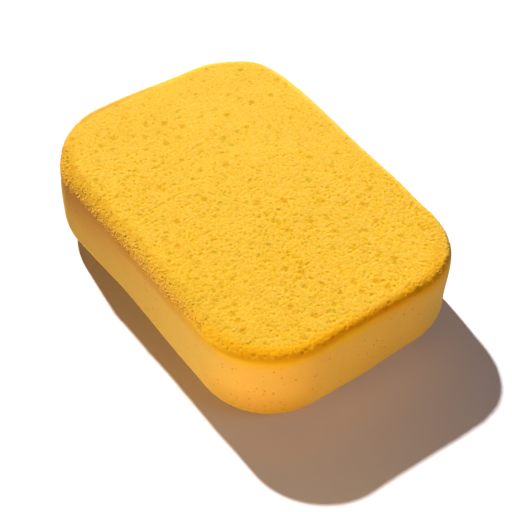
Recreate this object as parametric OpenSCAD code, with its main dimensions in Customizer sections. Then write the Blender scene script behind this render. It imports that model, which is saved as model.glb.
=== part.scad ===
// Cleaning sponge: one block of open-cell foam, a rounded rectangle in plan.
// +X runs along the long side, +Y along the short side and +Z is up.
// The origin is the middle of the underside, on the surface that the block rests on.

/* [Block] */
// length, over the two short sides, mm
foam_length = 190; // [120:1:230]
// width, over the two long sides, mm
foam_width = 134; // [100:1:160]
// height from the underside to the top, mm
foam_height = 51; // [35:1:70]
// radius of the four upright corners, mm
corner_radius = 38; // [24:1:42]

/* [Rims] */
// radius of the small rounding round the top, mm
top_rim_radius = 3.5; // [2:0.5:8]
// radius of the fuller rounding round the underside, mm
under_rim_radius = 16; // [4:1:18]

/* [Open cells] */
// spacing of the open cells that show on the two flat faces, mm
cell_pitch = 7.5; // [7:0.5:16]
// radius of the smallest of these cells, mm
cell_small = 0.7; // [0.5:0.1:1]
// radius of the largest of these cells, mm
cell_large = 1.8; // [1.2:0.1:2]
// number that picks one scatter of cells
cell_seed = 7; // [1:1:40]

/* [Hidden] */

$fn = 72;
cell_fn = 24;
// share of the pitch by which a cell wanders off its grid point
wander = 0.3;
// share of its radius by which the middle of a cell lies above or below the face
sink = 0.25;
// smallest width of unbroken foam between a cell and the start of the rim
cell_margin = 0.6;

// middle of the upright corner at +X and +Y
corner_middle = [foam_length / 2 - corner_radius, foam_width / 2 - corner_radius];

// grid columns and rows of cells on each side of the middle
cell_columns = floor(foam_length / cell_pitch / 2);
cell_rows = floor(foam_width / cell_pitch / 2);

// distance from a point of the plan to the outline round it
function edge_distance(point) =
    let (past = [abs(point.x), abs(point.y)] - corner_middle)
    corner_radius - (min(past) > 0 ? norm(past) : max(past));

// the sharp edge that a rounding takes away, with its hollow side towards the origin
module rounding_waste(radius) {
    difference() {
        square(radius + 1);
        circle(radius);
    }
}

// upright section through the edge of the block: small rim above, full rounding below
module edge_section() {
    difference() {
        square([corner_radius, foam_height]);
        translate([corner_radius - top_rim_radius, foam_height - top_rim_radius])
            rounding_waste(top_rim_radius);
        translate([corner_radius - under_rim_radius, under_rim_radius])
            mirror([0, 1])
                rounding_waste(under_rim_radius);
    }
}

// straight side: the edge section drawn out along Y, facing +X
module side_run(run) {
    rotate([90, 0, 0])
        linear_extrude(run, center = true)
            edge_section();
}

// upright corner: the edge section turned through a quarter, from +X to +Y
module corner_turn() {
    rotate_extrude(angle = 90)
        edge_section();
}

module block() {
    linear_extrude(foam_height)
        square(2 * corner_middle, center = true);
    for (turn = [0, 180])
        rotate(turn) {
            translate([corner_middle.x, 0])
                side_run(2 * corner_middle.y);
            translate([0, corner_middle.y])
                rotate(90)
                    side_run(2 * corner_middle.x);
            translate(corner_middle)
                corner_turn();
            translate([-corner_middle.x, corner_middle.y])
                rotate(90)
                    corner_turn();
        }
}

// round cells scattered over one flat face, clear of its rim and of one another
module open_cells(rim, seed) {
    draws = rands(0, 1, 4 * (2 * cell_columns + 1) * (2 * cell_rows + 1), seed);
    for (i = [-cell_columns : cell_columns], j = [-cell_rows : cell_rows]) {
        first = 4 * ((i + cell_columns) * (2 * cell_rows + 1) + j + cell_rows);
        radius = cell_small + (cell_large - cell_small) * pow(draws[first], 2);
        stagger = (abs(j) % 2) / 2;
        spot = cell_pitch * [
            i + stagger + wander * (draws[first + 1] - 0.5),
            j + wander * (draws[first + 2] - 0.5)];
        height = 2 * sink * radius * (draws[first + 3] - 0.5);
        if (edge_distance(spot) > rim + radius + cell_margin)
            translate([spot.x, spot.y, height])
                sphere(radius, $fn = cell_fn);
    }
}

module sponge() {
    color("gold")
        difference() {
            block();
            translate([0, 0, foam_height])
                open_cells(top_rim_radius, cell_seed);
            open_cells(under_rim_radius, cell_seed + 1);
        }
}

sponge();
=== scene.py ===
import math

import bmesh
import bpy
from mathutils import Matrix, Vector


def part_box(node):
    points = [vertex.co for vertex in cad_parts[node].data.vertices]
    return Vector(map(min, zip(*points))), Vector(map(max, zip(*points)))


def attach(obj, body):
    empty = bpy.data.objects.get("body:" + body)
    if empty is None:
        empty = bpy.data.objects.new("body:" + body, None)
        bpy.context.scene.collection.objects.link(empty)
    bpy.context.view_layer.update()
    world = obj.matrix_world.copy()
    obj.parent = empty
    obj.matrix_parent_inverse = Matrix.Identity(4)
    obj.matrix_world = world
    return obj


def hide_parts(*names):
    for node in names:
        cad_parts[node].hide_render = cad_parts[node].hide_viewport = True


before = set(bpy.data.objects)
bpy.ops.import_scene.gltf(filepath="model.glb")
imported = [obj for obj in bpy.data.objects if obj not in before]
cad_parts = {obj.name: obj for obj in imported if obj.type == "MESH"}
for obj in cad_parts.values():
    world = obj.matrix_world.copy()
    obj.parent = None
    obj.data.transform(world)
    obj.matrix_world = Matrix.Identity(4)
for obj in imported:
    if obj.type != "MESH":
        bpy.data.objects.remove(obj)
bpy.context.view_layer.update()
low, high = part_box("sponge")
middle = (low + high) / 2
span = high - low


class Wire:  # the output of a node, which sums are written with
    def __init__(self, bench, socket):
        self.bench = bench
        self.socket = socket

    def maths(self, operation, *others):
        return self.bench.add("ShaderNodeMath", {"operation": operation}, dict(enumerate((self,) + others)))

    def __add__(self, other):
        return self.maths("ADD", other)

    def __radd__(self, other):
        return self.maths("ADD", other)

    def __sub__(self, other):
        return self.maths("SUBTRACT", other)

    def __rsub__(self, other):
        return self.maths("MULTIPLY", -1.0).maths("ADD", other)

    def __mul__(self, other):
        return self.maths("MULTIPLY", other)

    def __rmul__(self, other):
        return self.maths("MULTIPLY", other)

    def __pow__(self, other):
        return self.maths("POWER", other)

    def atLeast(self, other):
        return self.maths("MAXIMUM", other)

    def atMost(self, other):
        return self.maths("MINIMUM", other)

    def root(self):
        return self.maths("SQRT")

    def size(self):
        return self.maths("ABSOLUTE")

    def ramp(self, start, end):  # 0 before start, 1 after end, smooth between them
        return self.bench.add(
            "ShaderNodeMapRange", {"interpolation_type": "SMOOTHSTEP"},
            {"Value": self, "From Min": start, "From Max": end, "To Min": 0.0, "To Max": 1.0})


class Bench:  # a node tree, and the one way in which nodes come into it
    def __init__(self, tree):
        self.tree = tree
        tree.nodes.clear()

    def add(self, kind, settings=None, sockets=None, out=0):
        made = self.tree.nodes.new(kind)
        for name, value in (settings or {}).items():
            setattr(made, name, value)
        for name, value in (sockets or {}).items():
            if isinstance(value, (Wire, list)):
                for wire in value if isinstance(value, list) else [value]:
                    self.tree.links.new(wire.socket, made.inputs[name])
            else:
                made.inputs[name].default_value = value
        return Wire(self, made.outputs[out]) if len(made.outputs) else made

    def other(self, wire, name):  # another output of the same node
        return Wire(self, wire.socket.node.outputs[name])

    def scaled(self, vector, factor):
        return self.add("ShaderNodeVectorMath", {"operation": "SCALE"}, {0: vector, "Scale": factor})

    def mixColour(self, factor, first, second, blend="MIX"):
        return self.add("ShaderNodeMix", {"data_type": "RGBA", "blend_type": blend},
                        {0: factor, 6: first, 7: second}, out=2)

    def noise(self, place, scale, detail, roughness=0.5, out=0):
        return self.add("ShaderNodeTexNoise", None,
                        {"Vector": place, "Scale": scale, "Detail": detail, "Roughness": roughness}, out)

    def cells(self, place, scale):  # distance to the nearest cell, and a number that is that cell's own
        distance = self.add("ShaderNodeTexVoronoi", {"feature": "F1"}, {"Vector": place, "Scale": scale})
        own = self.add("ShaderNodeSeparateXYZ", None, {"Vector": self.other(distance, "Color")})
        return distance, own

    def placeInMm(self, source):  # a place as one vector, and its three parts
        place = self.scaled(source, 1000.0)
        x = self.add("ShaderNodeSeparateXYZ", None, {"Vector": place})
        return place, x, self.other(x, "Y"), self.other(x, "Z")


def onlySelect(piece):
    bpy.ops.object.select_all(action="DESELECT")
    piece.select_set(True)
    bpy.context.view_layer.objects.active = piece


def applyAll(piece):
    onlySelect(piece)
    for modifier in list(piece.modifiers):
        bpy.ops.object.modifier_apply(modifier=modifier.name)


viewing = {
    "azimuth": 54.1,      # degrees, 0 looks along +Y
    "elevation": 47.9,
    "distance": 0.7664,
    "lens": 108.3,
    "aimRight": 0.0034,   # the aim passes a little beside and below the middle of the block
    "aimUp": -0.012,
}


def makeCamera():
    turn, tilt = math.radians(viewing["azimuth"]), math.radians(viewing["elevation"])
    back = Vector((math.sin(turn) * math.cos(tilt), -math.cos(turn) * math.cos(tilt), math.sin(tilt)))
    right = Vector((math.cos(turn), math.sin(turn), 0))
    target = Vector((0, 0, 0.025)) + right * viewing["aimRight"] + back.cross(right) * viewing["aimUp"]
    bpy.ops.object.camera_add(location=target + back * viewing["distance"])
    camera = bpy.context.object
    camera.name = "camera"
    camera.rotation_euler = (-back).to_track_quat("-Z", "Y").to_euler()
    camera.data.lens = viewing["lens"]
    camera.data.clip_start = 0.01
    bpy.context.scene.camera = camera


lighting = {
    "keyAt": (-4.205, 0.442, 4.257),
    "keySize": (0.2, 0.2),
    "keyPower": 585.0,
    "keyColour": (1, 1, 1),
    "softAt": (0.634, 0.296, 0.388),       # broad pale light from the shaded side
    "softSize": (0.5, 0.4),
    "softPower": 0.92,
    "softColour": (1, 0.95, 1),
    "leftCardAt": (0.10, -0.26, 0.02),     # light thrown back by the paper in front
    "leftCardSize": (0.2, 0.035),
    "leftCardPower": 0.225,
    "leftCardColour": (1, 0.84, 0.66),
    "rightCardAt": (0.25, -0.12, 0.04),
    "rightCardSize": (0.2, 0.06),
    "rightCardPower": 0.15,
    "rightCardColour": (1, 0.60, 0.16),
    "skyColour": (0.006, 0.006, 0.02, 1),
    "floorColour": (0.349, 0.283, 0.302, 1),   # what the floor throws back at the block
    "floorShown": (0.896, 0.868, 0.887, 1),    # and how it looks itself
}


def addLamp(name):
    place = Vector(lighting[name + "At"])
    bpy.ops.object.light_add(type="AREA", location=place)
    lamp = bpy.context.object
    lamp.name = name
    lamp.visible_camera = False
    lamp.rotation_euler = (-place).to_track_quat("-Z", "Y").to_euler()
    lamp.data.shape = "ELLIPSE"
    lamp.data.size, lamp.data.size_y = lighting[name + "Size"]
    lamp.data.energy = lighting[name + "Power"]
    lamp.data.color = lighting[name + "Colour"]


def seenDirectly(bench):  # 1 for camera, mirror and see-through rays
    camera = bench.add("ShaderNodeLightPath", out="Is Camera Ray")
    glossy = bench.other(camera, "Is Glossy Ray")
    return camera.atLeast(glossy).atLeast(bench.other(camera, "Is Transmission Ray"))


def makeWorld():
    world = bpy.data.worlds.new("paleRoom")
    bpy.context.scene.world = world
    world.use_nodes = True
    bench = Bench(world.node_tree)
    colour = bench.mixColour(seenDirectly(bench), lighting["skyColour"], (1, 1, 1, 1))
    light = bench.add("ShaderNodeBackground", None, {"Color": colour, "Strength": 1.0})
    bench.add("ShaderNodeOutputWorld", None, {"Surface": light})


def makeFloor():
    bpy.ops.mesh.primitive_plane_add(size=6)
    floor = bpy.context.object
    floor.name = "floor"
    material = bpy.data.materials.new("palePaper")
    material.use_nodes = True
    bench = Bench(material.node_tree)
    colour = bench.mixColour(seenDirectly(bench), lighting["floorColour"], lighting["floorShown"])
    paper = bench.add("ShaderNodeBsdfDiffuse", None, {"Color": colour})
    bench.add("ShaderNodeOutputMaterial", None, {"Surface": paper})
    floor.data.materials.append(material)


foam = {
    "cornerRadius": 0.038,
    "cornerSegments": 40,
    "topRim": 0.0045,
    "topSegments": 8,
    "underRim": 0.016,
    "underSegments": 16,
    "coarse": 0.0006,                # edge of the first even mesh
    "fineDepth": 0.006,              # how far down from the top the mesh is twice as fine
    "triangles": 135000,
    # open cells: spacing, smallest and largest radius in mm, and how deep they go for their radius
    "large": (5.5, 0.4, 1.5, 0.3),
    "medium": (1.9, 0.3, 0.95, 0.5),
    "fine": (1.15, 0.2, 0.6, 0.7),
    "gap": (1.5, 0.4, 0.8, 0.34),    # between the lumps of the torn rim
    "knob": (1.5, 0.3, 0.75, 0.7),   # and those lumps
    "frayed": 0.35,                  # how high the lumps are along the front edge, as a share
    "crumbsPerArea": 1.4e6,          # loose ends of torn cells, for each square metre
    "crumbSmall": 0.00018,
    "crumbLarge": 0.0005,
    "warp": 0.6,                     # how far the cells are pulled out of round, mm
    "ripple": 4,                     # how far the torn band wanders, mm
    "swell": 1.2,                    # slow waves in the cut faces, mm
    "worn": 0.15,                    # how much the front edge of the top is rubbed away, mm
    "grain": 0.6,                    # fine unevenness of the cut top, mm
    "skinGrain": 0.12,               # and of the smooth sides
    "seed": 3.0,
}

# where the hand-cut block is out of true: place, reach and height, mm
bulges = {
    "shortSideBehind": ((-95, -34, 47), 28, 1.0),
    "shortSideBehindWide": ((-95, -12, 47), 46, 1.9),
    "leftCornerTop": ((-80, -62, 46), 16, -0.9),
    "leftCornerLow": ((-84, -60, 22), 24, 0.5),
    "backCorner": ((-77, 60, 49), 18, 1.2),
    "longSideBehind": ((-36, 67, 48), 40, 1.1),
    "longSideBehindDip": ((52, 67, 47), 24, -0.85),
    "rightCorner": ((90, 56, 44), 26, 1.6),
    "longSideFoot": ((-10, -67, 4), 55, -1.1),
    "shortSideFoot": ((92, 25, 3), 30, -0.9),
}


def edgesWhere(mesh, test):
    for face in mesh.faces:
        face.select = False
    for edge in mesh.edges:
        edge.select = test(*[corner.co for corner in edge.verts])
    mesh.select_flush_mode()


def bevelWhere(test, offset, segments):
    mesh = bmesh.from_edit_mesh(bpy.context.object.data)
    edgesWhere(mesh, test)
    bmesh.update_edit_mesh(bpy.context.object.data)
    bpy.ops.mesh.bevel(offset=offset, segments=segments, affect="EDGES")


def roundedBlock():
    bpy.ops.object.select_all(action="DESELECT")
    bpy.ops.mesh.primitive_cube_add(size=1, location=middle, scale=span)
    block = bpy.context.object
    block.name = "foamBlock"
    bpy.ops.object.transform_apply(location=True, rotation=True, scale=True)
    bpy.ops.object.mode_set(mode="EDIT")
    bpy.ops.mesh.select_mode(type="EDGE")
    bevelWhere(lambda a, b: abs(a.z - b.z) > span.z / 2, foam["cornerRadius"], foam["cornerSegments"])
    bevelWhere(lambda a, b: min(a.z, b.z) > high.z - 1e-5, foam["topRim"], foam["topSegments"])
    bevelWhere(lambda a, b: max(a.z, b.z) < low.z + 1e-5, foam["underRim"], foam["underSegments"])
    bpy.ops.object.mode_set(mode="OBJECT")
    return block


def evenMesh(block):
    onlySelect(block)
    remesh = block.modifiers.new("even", "REMESH")
    remesh.mode = "VOXEL"
    remesh.voxel_size = foam["coarse"]
    bpy.ops.object.modifier_apply(modifier=remesh.name)
    bpy.ops.object.mode_set(mode="EDIT")
    bpy.ops.mesh.select_mode(type="FACE")
    mesh = bmesh.from_edit_mesh(block.data)
    for face in mesh.faces:
        face.select = face.calc_center_median().z > high.z - foam["fineDepth"]
    bmesh.update_edit_mesh(block.data)
    bpy.ops.mesh.subdivide(number_cuts=1)
    bpy.ops.object.mode_set(mode="OBJECT")


def roundCells(bench, place, kind, shift, share=1.0):
    spacing, small, large, depth = foam[kind]
    moved = bench.add("ShaderNodeVectorMath", {"operation": "ADD"}, {0: place, 1: (shift, shift, shift)})
    distance, own = bench.cells(moved, 1 / spacing)
    radius = (own * (large - small) + small) * share
    reach = distance * spacing
    return (radius * radius - reach * reach).atLeast(0.0).root() * depth


def fromWall(x, y):  # how far inside the side walls a place lies, mm
    corner = foam["cornerRadius"] * 1000
    alongX = x.size() - (span.x * 500 - corner)
    alongY = y.size() - (span.y * 500 - corner)
    curved = (alongX.atLeast(0) ** 2 + alongY.atLeast(0) ** 2).root()
    return corner - curved - alongX.atLeast(alongY).atMost(0)


def frontward(x, y):  # how far a place lies towards the front edge, mm
    return x * 0.81 - y * 0.59


def cornerward(x, y):  # and towards the upright corner between the two sides in front
    return (x - y) * 0.7071


def fromRim(x, y, z):  # distance from a line that runs just inside the edge of the top, mm
    return (((fromWall(x, y) - 1.4) * 0.8) ** 2 + ((high.z * 1000 - z) * 1.2) ** 2).root()


def tornRim(x, y, z, ripple):  # 1 along the rims where the foam has crumbled, 0 away from them
    band = 1 - (fromRim(x, y, z) + ripple).ramp(2.8, 5.4)
    longSide = (-1 * y).ramp(45.0, 62.0) * (1 - x.ramp(0.0, 80.0) * 0.75)
    farCorner = (x * 0.8 + y * 0.6).ramp(84.0, 98.0) * 0.7
    return band * longSide.atLeast(farCorner)


def rippleAt(bench, place):  # lets the torn band wander
    return (bench.noise(place, 0.15, 2.0) - 0.5) * foam["ripple"]


def frayedEdge(x, y, z):  # 1 along the front edge of the cut top, where single cell walls stick up
    inside = fromWall(x, y)
    return inside.ramp(4.5, 6.0) * (1 - inside.ramp(7.0, 9.0)) * z.ramp(47.0, 49.0) * x.ramp(20.0, 70.0)


def newTree(name):  # a geometry tree with one mesh in and one mesh out
    tree = bpy.data.node_groups.new(name, "GeometryNodeTree")
    tree.interface.new_socket("Geometry", in_out="INPUT", socket_type="NodeSocketGeometry")
    tree.interface.new_socket("Geometry", in_out="OUTPUT", socket_type="NodeSocketGeometry")
    return tree


def useTree(block, tree):
    modifier = block.modifiers.new(tree.name, "NODES")
    modifier.node_group = tree
    applyAll(block)


def store(bench, mesh, name, value):
    return bench.add("GeometryNodeStoreNamedAttribute", {"data_type": "FLOAT", "domain": "POINT"},
                     {"Geometry": mesh, "Name": name, "Value": value})


def roughen(block):
    tree = newTree("openCells")
    bench = Bench(tree)
    start = bench.add("NodeGroupInput")
    place, x, y, z = bench.placeInMm(bench.add("GeometryNodeInputPosition"))
    normal = bench.add("GeometryNodeInputNormal")
    up = bench.other(bench.add("ShaderNodeSeparateXYZ", None, {"Vector": normal}), "Z")
    topness = up.ramp(0.3, 0.75)

    wobble = bench.noise(place, 0.7, 1.0, out="Color")
    centred = bench.add("ShaderNodeVectorMath", {"operation": "SUBTRACT"}, {0: wobble, 1: (0.5, 0.5, 0.5)})
    warped = bench.add("ShaderNodeVectorMath", {"operation": "ADD"},
                       {0: place, 1: bench.scaled(centred, foam["warp"])})
    share = frontward(x, y).ramp(-95.0, 20.0) * 0.3 + 0.65     # the cells are wider towards the front
    large = roundCells(bench, warped, "large", foam["seed"], share)
    medium = roundCells(bench, warped, "medium", foam["seed"] + 11, share)
    fine = roundCells(bench, warped, "fine", foam["seed"] + 23, share)

    ripple = rippleAt(bench, place)
    rim = tornRim(x, y, z, ripple)
    frayed = frayedEdge(x, y, z) * foam["frayed"]
    gaps = roundCells(bench, warped, "gap", foam["seed"] + 37) * rim
    knobs = roundCells(bench, warped, "knob", foam["seed"] + 31) * rim.atLeast(frayed)
    hollow = (large.atLeast(medium).atLeast(fine) * (topness * 0.96 + 0.04)).atLeast(gaps)

    grain = bench.noise(place, 0.8, 3.0, 0.65)
    swell = bench.noise(place, 0.02, 1.0)
    lift = (swell - 0.5) * foam["swell"] + knobs - hollow
    lift = lift + (grain - 0.5) * (topness * foam["grain"] + foam["skinGrain"])
    for centre, reach, height in bulges.values():
        apart = bench.add("ShaderNodeVectorMath", {"operation": "DISTANCE"}, {0: place, 1: centre},
                          out="Value")
        lift = lift + (1 - apart.ramp(0.0, reach)) * (1 - up.ramp(0.75, 1.0) * 0.7) * height
    worn = (1 - fromWall(x, y).ramp(0.0, 8.0)) * frontward(x, y).ramp(35.0, 70.0) * up.ramp(0.1, 0.6)
    lift = lift - worn * foam["worn"]
    resting = z.ramp(0.0, 4.0)                          # the underside stays flat on the floor
    moved = bench.add(
        "GeometryNodeSetPosition", None,
        {"Geometry": start, "Offset": bench.scaled(normal, lift * resting * 0.001)})

    # kept for the colours: how deep a place lies, and how torn the foam is there
    stored = store(bench, moved, "hollow", hollow - knobs * 0.6 + (0.5 - grain) * topness)
    stored = store(bench, stored, "torn", tornRim(x, y, z, ripple - 1.8))
    bench.add("NodeGroupOutput", None, {"Geometry": stored})
    useTree(block, tree)


def addCrumbs(block, tornMaterial):
    tree = newTree("crumbs")
    bench = Bench(tree)
    start = bench.add("NodeGroupInput")
    place, x, y, z = bench.placeInMm(bench.add("GeometryNodeInputPosition"))
    rim = tornRim(x, y, z, rippleAt(bench, place))
    many = rim.ramp(0.25, 0.8) * (1 - z.ramp(49.6, 50.8) * 0.75) * (1 - x.ramp(45.0, 80.0) * 0.85)
    whole = bench.add(
        "GeometryNodeSetMaterial", None,
        {"Geometry": start, "Selection": rim.maths("GREATER_THAN", 0.25), "Material": tornMaterial})
    points = bench.add("GeometryNodeDistributePointsOnFaces", None,
                       {"Mesh": start, "Density": many * foam["crumbsPerArea"], "Seed": 5})
    size = bench.add("FunctionNodeRandomValue", {"data_type": "FLOAT_VECTOR"},
                     {"Min": (foam["crumbSmall"],) * 3, "Max": (foam["crumbLarge"],) * 3, "Seed": 1})
    turn = bench.add("FunctionNodeRandomValue", {"data_type": "FLOAT_VECTOR"},
                     {"Min": (0, 0, 0), "Max": (math.tau,) * 3, "Seed": 2})
    ball = bench.add("GeometryNodeMeshIcoSphere", None, {"Radius": 1.0, "Subdivisions": 1})
    crumbs = bench.add("GeometryNodeInstanceOnPoints", None,
                       {"Points": points, "Instance": ball, "Rotation": turn, "Scale": size})
    real = bench.add("GeometryNodeRealizeInstances", None, {"Geometry": crumbs})
    pale = bench.add("GeometryNodeSetMaterial", None, {"Geometry": real, "Material": crumbMaterial()})
    both = bench.add("GeometryNodeJoinGeometry", None, {"Geometry": [whole, pale]})
    bench.add("NodeGroupOutput", None, {"Geometry": both})
    useTree(block, tree)
    print("sponge: %d faces with its crumbs" % len(block.data.polygons))


def thin(block):
    triangles = sum(len(face.vertices) - 2 for face in block.data.polygons)
    fewer = block.modifiers.new("fewer", "DECIMATE")
    fewer.ratio = foam["triangles"] / triangles
    applyAll(block)
    print("sponge: %d triangles thinned to %d" % (triangles, len(block.data.polygons)))


finish = {
    "cutPale": (0.815, 0.50, 0.068, 1),    # the raised and the lower places of the cut top; the lower ones darker, partly the foam's deeper gold and partly painted shade in the hollows
    "cutDeep": (0.755, 0.42, 0.014, 1),
    "skin": (0.98, 0.575, 0.10, 1),
    "paintedShadeSunSide": (0.76, 0.43, 0.065, 1),     # darker skin on the short side behind, which faces the key lamp: painted shade that tones down the light there
    "paintedShadeHigh": (0.70, 0.31, 0.055, 1),        # painted shade: darker, browner skin high on the back of the long side
    "paintedShadeLow": (0.67, 0.37, 0.043, 1),     # painted shade low on the upright corner in front
    "paintedGlow": (0.99, 0.545, 0.010, 1),       # painted glow: orange band where the top rolls over to the sides, light that passes through the foam painted into the shaded rim
    "paintedGlowFar": (0.94, 0.44, 0.02, 1),      # the same towards the far end of the short side
    "paintedGlowLit": (0.84, 0.405, 0.004, 1),    # and its upper part, a lit copy of the painted glow
    "crumbled": (0.66, 0.325, 0.010, 1),   # golden foam of the torn rim
    "crumbPale": (0.98, 0.59, 0.095, 1),   # loose crumbs, between these two
    "crumbGold": (0.87, 0.465, 0.035, 1),
    # open cells: deeper gold, partly painted shade in the cells
    "pit": (0.66, 0.36, 0.008, 1),
    "tip": (0.98, 0.57, 0.12, 1),          # tops of the lumps: a painted highlight where they catch the light
    "amber": (0.66, 0.315, 0.005, 1),      # soft deeper spots in the cut top
    "olive": (0.56, 0.345, 0.005, 1),
    "speck": (0.60, 0.26, 0.01, 1),        # few small cells that open on the sides: painted shade in the openings
    # how much light goes into the foam, how far for red, green and blue, and the scale of that
    "deepScatter": (0.8, (1.0, 0.45, 0.1), 0.005),
    "shallowScatter": (0.45, (1.0, 0.7, 0.25), 0.002),   # the same for the torn rim
    "roughness": 0.95,
    "shine": 0.08,
    "poreSpacing": 0.95,                   # the finest cells, mm
    "mottle": 0.06,                        # soft clouds of lighter and darker foam
    "sideMottle": 0.12,                    # and smaller ones on the sides
}


def newMaterial(name):
    material = bpy.data.materials.new(name)
    material.use_nodes = True
    bench = Bench(material.node_tree)
    return material, bench, bench.placeInMm(bench.add("ShaderNodeTexCoord", out="Object"))


def skinColour(bench, x, y, z):  # the smooth sides
    # painted shade: darker, browner skin high on the back of the long side
    paintedShadeHigh = z.ramp(18.0, 46.0) * (1 - x.ramp(-70.0, 30.0) * (1 - z.ramp(40.0, 47.0) * 0.6))
    paintedShadeHigh = paintedShadeHigh * (-1 * y).ramp(20.0, 60.0) * (1 - x.ramp(30.0, 80.0))
    # painted shade: darker skin low on the upright corner in front, near the floor
    low = (1 - z.ramp(8.0, 30.0)) * cornerward(x, y).ramp(84.0, 97.0)
    # painted shade: a darker copy of the skin on the short side behind, which the key lamp lights
    skin = bench.mixColour((-1 * x).ramp(60.0, 90.0), finish["skin"], finish["paintedShadeSunSide"])
    skin = bench.mixColour(paintedShadeHigh, skin, finish["paintedShadeHigh"])
    return bench.mixColour(low, skin, finish["paintedShadeLow"])


def cutColour(bench, place, hollow, grain, ragged, front):  # the cut top
    # deeper places take the darker colour: partly the foam's deeper gold, partly painted shade in the hollows
    tone = (hollow + (0.5 - grain) * (front * 0.4 + 0.2) + (front - 0.6) * 0.08).ramp(-0.22, 0.26)
    cut = bench.mixColour(tone, finish["cutPale"], finish["cutDeep"])
    spots, own = bench.cells(place, 0.165)
    deep = 1 - (spots + (ragged - 0.5) * 0.6 + own * 0.2).ramp(0.12, 0.42)
    spot = bench.mixColour(own.ramp(0.15, 0.3), finish["amber"], finish["olive"])
    return bench.mixColour(deep * 0.9, cut, spot)


def withPaintedGlow(bench, colour, x, y, z, clouds, ragged):  # paints the glow: an orange band round the front edge, light that passes through the foam painted into the shaded rim
    rolled = z + fromWall(x, y) + (ragged - 0.5) * 5       # grows from the side over the rim to the top
    rolled = rolled - frontward(x, y).ramp(70.0, 100.0) * 3
    paintedGlow = (z + (clouds - 0.5) * 6).ramp(40.0, 49.5) * (1 - rolled.ramp(52.5, 58.0))
    paintedGlow = paintedGlow * x.ramp(0.0, 80.0) * (1 - y.ramp(40.0, 64.0))
    orange = bench.mixColour(y.ramp(-10.0, 40.0), finish["paintedGlow"], finish["paintedGlowFar"])
    orange = bench.mixColour(rolled.ramp(47.5, 50.5), orange, finish["paintedGlowLit"])
    return bench.mixColour(paintedGlow, colour, orange)


def sideSpecks(bench, place, x, y, z):  # 1 in the few cells that open on the sides
    openings, own = bench.cells(place, 0.42)
    often = bench.noise(place, 0.045, 1.0).ramp(0.45, 0.7) * 0.22 + cornerward(x, y).ramp(86.0, 98.0) * 0.3
    return (1 - openings.ramp(0.12, 0.34)) * (often - own).ramp(-0.05, 0.05) * (1 - z.ramp(42.0, 45.0))


def foamMaterial(name, scatter):
    material, bench, (place, x, y, z) = newMaterial(name)
    hollow = bench.add("ShaderNodeAttribute", {"attribute_name": "hollow"}, out="Fac")
    torn = bench.add("ShaderNodeAttribute", {"attribute_name": "torn"}, out="Fac")
    cutTop = z.ramp(44.0, 49.0) * fromWall(x, y).ramp(0.5, 5.0)
    front = frontward(x, y).ramp(-95.0, 80.0)
    clouds = bench.noise(place, 0.06, 3.0)
    grain = bench.noise(place, 1.6, 4.0, 0.65)
    ragged = bench.noise(place, 0.9, 2.0)
    pores, own = bench.cells(place, 1 / finish["poreSpacing"])
    pore = (1 - pores.ramp(0.12, 0.42)) * own.ramp(0.35, 0.6)
    speck = sideSpecks(bench, place, x, y, z)

    cut = cutColour(bench, place, hollow, grain, ragged, front)
    colour = bench.mixColour(cutTop, skinColour(bench, x, y, z), cut)
    # the painted glow round the front edge
    colour = withPaintedGlow(bench, colour, x, y, z, clouds, ragged)
    crumbled = torn * z.ramp(47.0, 50.0) * (0.75 - x.ramp(-60.0, 20.0) * 0.3)
    colour = bench.mixColour(crumbled, colour, finish["crumbled"])
    # open cells and pores on the cut top take the pit colour: partly painted shade in the cells
    colour = bench.mixColour(hollow.ramp(0.1, 0.6).atLeast(pore * cutTop * 0.4), colour, finish["pit"])
    # raised places take the pale tip colour: a painted highlight
    colour = bench.mixColour((-1 * hollow).ramp(0.15, 0.7), colour, finish["tip"])
    # small openings on the sides: darker colour as painted shade in them, with a dent of bump
    colour = bench.mixColour(speck * 0.7, colour, finish["speck"])
    shade = 1 + (clouds - 0.5) * (finish["mottle"] * 2) + (ragged - 0.5) * (1 - cutTop) * finish["sideMottle"]
    grey = bench.add("ShaderNodeCombineXYZ", None, {"X": shade, "Y": shade, "Z": shade})
    colour = bench.mixColour(1.0, colour, grey, "MULTIPLY")

    bump = bench.add("ShaderNodeBump", None,
                     {"Strength": cutTop * front * 0.15 + 0.1, "Distance": 0.0005,
                      "Height": grain - pore * 0.5 - speck * 1.5})
    weight, radius, scale = finish[scatter]
    shader = bench.add(
        "ShaderNodeBsdfPrincipled", None,
        {"Base Color": colour, "Roughness": finish["roughness"], "Specular IOR Level": finish["shine"],
         "Normal": bump, "Subsurface Weight": weight, "Subsurface Radius": radius, "Subsurface Scale": scale})
    bench.add("ShaderNodeOutputMaterial", None, {"Surface": shader})
    return material


def crumbMaterial():
    material, bench, (place, *rest) = newMaterial("paleCrumbs")
    patches = bench.noise(place, 0.9, 1.0).ramp(0.3, 0.55)
    colour = bench.mixColour(patches, finish["crumbGold"], finish["crumbPale"])
    shader = bench.add("ShaderNodeBsdfPrincipled", None,
                       {"Base Color": colour, "Roughness": finish["roughness"], "Specular IOR Level": 0.0})
    bench.add("ShaderNodeOutputMaterial", None, {"Surface": shader})
    return material


def makeSponge():
    sponge = roundedBlock()
    evenMesh(sponge)
    print("sponge: even mesh of %d faces" % len(sponge.data.polygons))
    roughen(sponge)
    thin(sponge)
    sponge.data.materials.clear()
    sponge.data.materials.append(foamMaterial("yellowFoam", "deepScatter"))
    addCrumbs(sponge, foamMaterial("tornFoam", "shallowScatter"))
    onlySelect(sponge)
    bpy.ops.object.shade_smooth()
    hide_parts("sponge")
    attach(sponge, "root")


bpy.context.scene.view_settings.view_transform = "Standard"
makeCamera()
for name in ("key", "soft", "leftCard", "rightCard"):
    addLamp(name)
makeWorld()
makeFloor()
print("camera, lamps and floor made")
makeSponge()
print("sponge: in place of the solid one")
